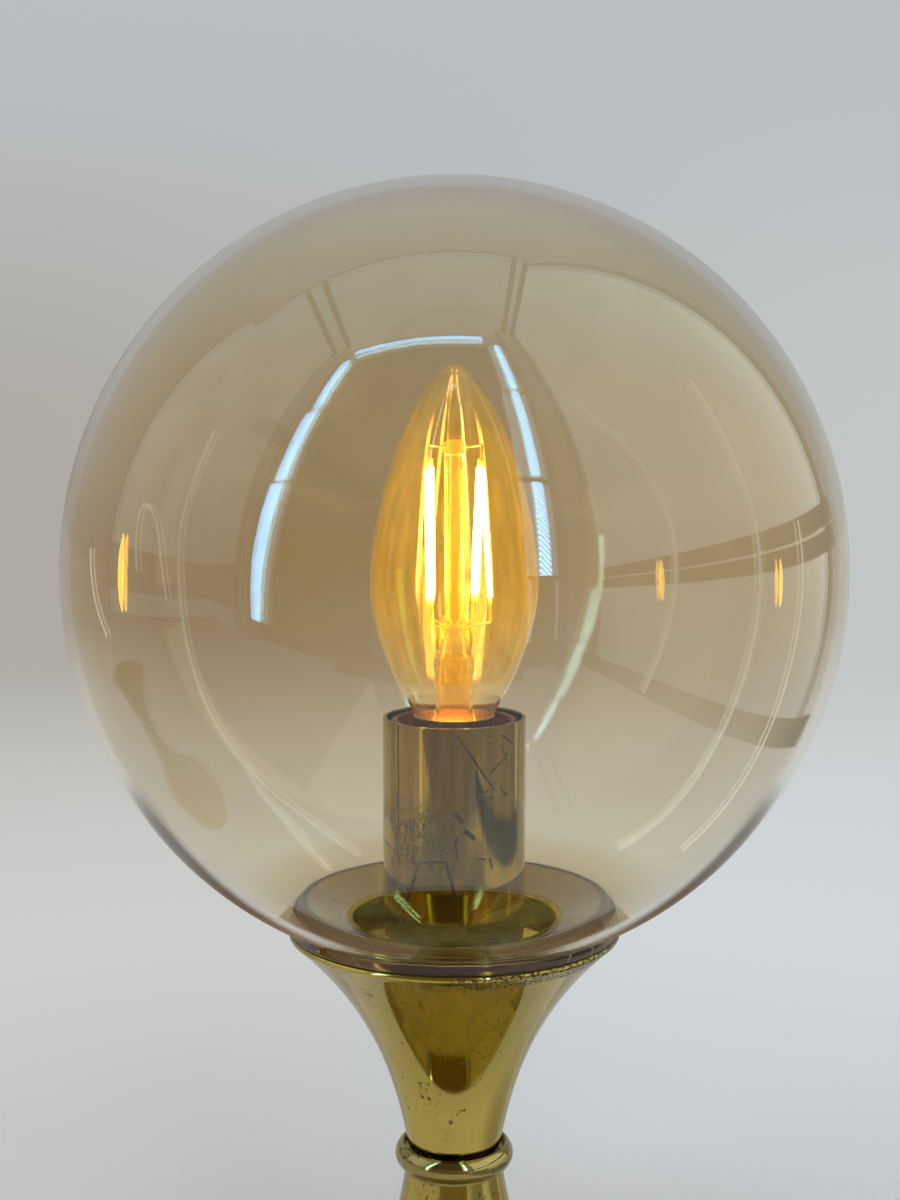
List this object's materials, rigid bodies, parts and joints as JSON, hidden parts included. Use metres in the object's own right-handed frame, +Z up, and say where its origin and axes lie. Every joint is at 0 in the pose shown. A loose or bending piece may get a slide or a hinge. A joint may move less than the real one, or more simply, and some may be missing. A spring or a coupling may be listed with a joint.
{
  "type": "glass globe table lamp",
  "caption": "Table lamp with a tinted glass globe resting on a flared brass trumpet, a waist ring, a spun brass foot and a lit candle bulb in a brass sleeve.",
  "frame": {"origin": "middle of the felt's underside, on the lamp's axis", "axes": "+Z up along the axis; +Y towards the cable inlet at the rear; -Y is the front"},
  "size_m": [0.16, 0.16, 0.2875],
  "materials": {
    "felt": "dark green felt",
    "casting": "rough cast, painted",
    "aged_brass": "polished brass with age spots",
    "turned_brass": "turned, unlacquered",
    "zinced_steel": "zinc plated",
    "grommet_black": "moulded nylon",
    "tinted_glass": "blown, champagne tint",
    "clear_glass": "blown, clear",
    "phenolic": "moulded phenolic, dark brown",
    "spring_bronze": "rolled phosphor bronze",
    "phosphor": "phosphor coating",
    "nickel": "nickel plated",
    "black_glass": "pressed black glass",
    "solder": "solder",
    "circuit_board": "bare board"
  },
  "bodies": {
    "base": {"felt_pad": "felt", "base_weight": "casting", "foot_shell": "aged_brass", "cable_grommet": "grommet_black", "foot_neck_bush": "turned_brass", "threaded_tube": "zinced_steel", "tube_nuts": "turned_brass", "tube_washers": "zinced_steel", "waist_ring": "aged_brass", "trumpet_shell": "aged_brass", "trumpet_neck_bush": "turned_brass", "gallery_ring": "aged_brass", "socket_sleeve": "aged_brass", "lampholder_cap": "phenolic", "lampholder_body": "phenolic", "lampholder_thread": "turned_brass", "lampholder_contact": "spring_bronze", "lampholder_terminals": "turned_brass", "terminal_screws": "zinced_steel"},
    "globe": {"glass_globe": "tinted_glass"},
    "bulb_seat": {"bulb_contact": "solder", "bulb_insulator": "black_glass"},
    "bulb": {"bulb_envelope": "clear_glass", "bulb_stem": "clear_glass", "bulb_filaments": "phosphor", "bulb_wires": "nickel", "bulb_cap": "nickel", "bulb_driver": "circuit_board"}
  },
  "joints": [
    {"name": "globe_lift", "type": "slide", "parent": "base", "child": "globe", "axis": [0, 0, 1], "range_m": [0, 0.13]},
    {"name": "bulb_rise", "type": "slide", "parent": "base", "child": "bulb_seat", "axis": [0, 0, 1], "range_m": [0, 0.0113]},
    {"name": "bulb_turn", "type": "hinge", "parent": "bulb_seat", "child": "bulb", "pos_m": [0, 0, 0.17], "axis": [0, 0, 1], "range_deg": [0, 1440]}
  ],
  "couplings": [
    {"joint": "bulb_rise", "follows": "bulb_turn", "m_per_rad": 0.00044882}
  ]
}
